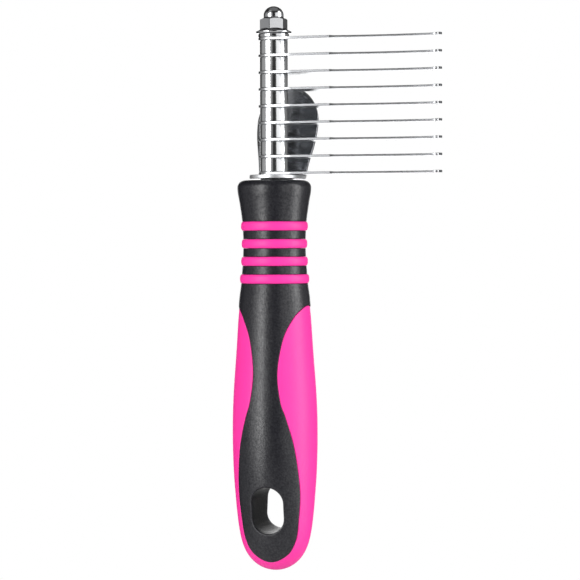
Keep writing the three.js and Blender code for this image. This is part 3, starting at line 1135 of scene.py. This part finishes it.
def ground_steel():
    """Blade steel, ground along its length. Its edges are duller, with painted light on them: a painted
    highlight round the eye and on the nose, a painted dark reflection along the sharpened edge and a painted
    shade at the tip's very end.
    """
    shader = Shader("ground_steel", Metallic=1)
    grain = shader.noise(1, 3, 0.65, shader.stretched((120, 5200, 5200)))
    faces = shader.mixed(grain, linear(206, 208, 211), linear(226, 228, 230))
    edges = shader.ranged(shader.level(), 1, 0, 0.35, 0.75)
    x, end = shader.part(shader.place, "X"), blade_reach()
    ground = shader.maths(
        shader.ranged(x, 0, 1, (SHANK_LENGTH - 0.3) * MM, (SHANK_LENGTH + 1) * MM),
        shader.ranged(x, 1, 0, (end - 1) * MM, (end - 0.7) * MM), "MULTIPLY",
    )
    # Painted highlight: the edge round the eye is painted lighter than the duller sheared edge of the shank
    # beyond it.
    shank = shader.ranged(x, 0, 1, EYE_RADIUS * MM, (EYE_RADIUS + 2) * MM)
    sheared_and_eye_highlight = shader.mixed(shank, linear(200, 201, 203), linear(118, 119, 121))
    # Painted dark reflection: the sharpened edge is painted darker and darker from the shank's end towards
    # the hollow.
    dark_reflection_to_hollow = shader.ranged(x, 0, 1, SHANK_LENGTH * MM, (0.35 * SHANK_LENGTH + 0.65 * end) * MM)
    sharpened = shader.mixed(dark_reflection_to_hollow, linear(190, 191, 193), linear(96, 97, 99))
    # Painted highlight on the blunt nose's edge.
    nose = shader.ranged(x, 0, 1, (end - 2.8) * MM, (end - 2) * MM)
    sharpened = shader.mixed(nose, sharpened, linear(222, 223, 225))
    # Painted shade: the last half millimetre of the nose's edge is painted dark.
    painted_tip_shade = shader.ranged(x, 0, 1, (end - 0.6) * MM, (end - 0.45) * MM)
    edge = shader.mixed(painted_tip_shade, shader.mixed(ground, sheared_and_eye_highlight, sharpened), linear(70, 71, 73))
    shader.to("Base Color", shader.mixed(edges, faces, edge))
    shader.to("Roughness", shader.ranged(grain, 0.22, 0.34))
    shader.to("Normal", shader.bump(grain, 0.000003, 0.4))
    return shader.material


def scratched_steel():
    """The thumb rest: rolled sheet, mirror bright, with light handling scratches in all directions."""
    shader = Shader("scratched_steel", Metallic=1)
    marks = None
    for turn, along, across in (((0, 82, 0), 50, 3100), ((0, 100, 10), 70, 3600), ((0, 40, 0), 60, 2700)):
        lines = shader.scratches(turn, along, across, 1)
        marks = lines if marks is None else shader.maths(marks, lines, "MAXIMUM")
    cloud = shader.noise(120, 5, 0.6)
    plate_top = low_of("thumb_rest")[2] + SHEET
    # The plate's sheared rim is rougher, and painted lighter than the face as a painted highlight.
    rim = shader.maths(
        shader.ranged(shader.part(shader.place, "Z"), 1, 0, plate_top * MM, (plate_top + 0.2) * MM),
        shader.ranged(shader.level(), 1, 0, 0.6, 0.95), "MULTIPLY",
    )
    face = shader.mixed(marks, linear(168, 170, 174), linear(206, 207, 210))
    shader.to("Base Color", shader.mixed(rim, face, linear(235, 236, 238)))
    rough = shader.maths(shader.ranged(cloud, 0.12, 0.18), shader.maths(marks, 0.14, "MULTIPLY"))
    shader.to("Roughness", shader.maths(rough, shader.maths(rim, 0.3, "MULTIPLY")))
    shader.to("Normal", shader.bump(marks, 0.000004, 0.4))
    return shader.material


# ---- Camera, light and floor ----

CAMERA_AZIMUTH = math.radians(14.5)
CAMERA_DISTANCE = 0.755
CAMERA_HEIGHT = 0.0862
CAMERA_ASIDE = 0.00503
CAMERA_PITCH = math.radians(-1.12)
CAMERA_ROLL = math.radians(-0.2)
LENS = 142.9
OBJECT_MIDDLE = 0.075
SOFTBOX_DISTANCE = 1.0
FLOOR_HEIGHT = -0.25

to_right = Vector((math.cos(CAMERA_AZIMUTH), math.sin(CAMERA_AZIMUTH), 0))
to_camera = Vector((math.sin(CAMERA_AZIMUTH), -math.cos(CAMERA_AZIMUTH), 0))


def make_camera():
    data = bpy.data.cameras.new("camera")
    data.lens = LENS
    data.sensor_width = 36
    data.clip_start, data.clip_end = 0.05, 20
    camera = bpy.data.objects.new("camera", data)
    bpy.context.scene.collection.objects.link(camera)
    camera.location = to_right * CAMERA_ASIDE + to_camera * CAMERA_DISTANCE + Vector((0, 0, CAMERA_HEIGHT))
    level = Matrix((to_right, (0, 0, 1), to_camera)).transposed().to_4x4()
    tilt = Matrix.Rotation(CAMERA_PITCH, 4, "X") @ Matrix.Rotation(CAMERA_ROLL, 4, "Z")
    camera.rotation_euler = (level @ tilt).to_euler()
    bpy.context.scene.camera = camera


def softbox(name, azimuth, elevation, width, height, radiance):
    """A soft panel turned to the object. The azimuth is from the camera's way, towards the right."""
    data = bpy.data.lights.new(name, "AREA")
    data.shape = "RECTANGLE"
    data.size, data.size_y = width, height
    data.energy = radiance * math.pi * width * height
    light = bpy.data.objects.new(name, data)
    bpy.context.scene.collection.objects.link(light)
    side, up = math.radians(azimuth), math.radians(elevation)
    level = to_camera * math.cos(side) + to_right * math.sin(side)
    way = level * math.cos(up) + Vector((0, 0, math.sin(up)))
    light.location = Vector((0, 0, OBJECT_MIDDLE)) + way * SOFTBOX_DISTANCE
    light.rotation_euler = way.to_track_quat("Z", "Y").to_euler()
    light.visible_camera = False


def make_world():
    """White behind the object. Polished surfaces reflect a darker room, lighter to the sides."""
    world = bpy.data.worlds.new("studio")
    bpy.context.scene.world = world
    world.use_nodes = True
    nodes = Nodes(world.node_tree, "Generated")

    def glow(way, from_low, from_high, low, high):
        """Light from round one way, by the cosine of the angle to it."""
        along = nodes.node("ShaderNodeVectorMath", operation="DOT_PRODUCT")
        along.inputs[1].default_value = way
        nodes.link(nodes.place, along.inputs[0])
        return nodes.ranged(along.outputs["Value"], low, high, from_low, from_high, "SMOOTHSTEP")

    strength = glow(-to_right, 0.75, 1, 0.02, 0.38)
    for other in (
        glow(to_right, 0.45, 0.9, 0.03, 0.26), glow(Vector((0, 0, 1)), 0.7, 0.92, 0, 0.2),
        glow(-to_camera, 0.935, 0.975, 0, 2),
    ):
        strength = nodes.maths(strength, other, "MAXIMUM")
    path = nodes.node("ShaderNodeLightPath")
    for rays, level in (("Is Diffuse Ray", 0.32), ("Is Camera Ray", 1)):
        mix = nodes.node("ShaderNodeMix")
        nodes.link(path.outputs[rays], mix.inputs["Factor"])
        nodes.link(strength, mix.inputs["A"])
        mix.inputs["B"].default_value = level
        strength = mix.outputs["Result"]
    background = world.node_tree.nodes["Background"]
    nodes.link(strength, background.inputs["Strength"])
    background.inputs["Color"].default_value = (1, 1, 1, 1)


def make_floor():
    mesh = bmesh.new()
    bmesh.ops.create_circle(mesh, cap_ends=True, segments=96, radius=0.6)
    data = bpy.data.meshes.new("floor")
    mesh.to_mesh(data)
    mesh.free()
    floor = bpy.data.objects.new("floor", data)
    floor.location.z = FLOOR_HEIGHT
    bpy.context.scene.collection.objects.link(floor)
    shader = Shader("floor_paper", Roughness=0.9)
    shader.to("Base Color", shader.mixed(shader.noise(40), (0.7, 0.7, 0.7, 1), (0.74, 0.74, 0.74, 1)))
    data.materials.append(shader.material)


make_camera()
make_world()
make_floor()
softbox("left_far", -57, 5, 0.42, 0.95, 2.2)
softbox("left_near", -40, 7, 0.18, 1.0, 10.5)
softbox("left_edge", -23, 8, 0.36, 1.05, 0.3)
softbox("left_high", -58, 50, 0.5, 0.4, 0.4)
softbox("right_near", 40.5, 8, 0.78, 1.05, 1.1)
softbox("right_far", 78, 12, 0.44, 1.3, 5.2)
bpy.context.scene.view_settings.view_transform = "Standard"

# ---- The object ----

plastic = black_plastic()
rubber = pink_rubber()
bright = turned_steel("polished_steel", ((218, 219, 221), (232, 233, 234)), 0.1)
nickel = turned_steel("nickel_plate", ((200, 201, 204), (218, 219, 221)), 0.09, 1800)
blade_steel = ground_steel()
rest_steel = scratched_steel()

handle_core(plastic)
grip_overmould(rubber)
for ring_number in range(1, 5):
    grip_ring(ring_number, rubber)
stud(nickel)
thumb_rest(rest_steel)
for blade_number in range(1, 10):
    blade(blade_number, blade_steel)
for spacer_number in range(1, 9):
    tube(f"spacer_tube_{spacer_number}", f"spacer_{spacer_number}", SPACER_EDGE, bright)
tube("washer_disc", "top_washer", WASHER_EDGE, nickel)
cap_nut(nickel)
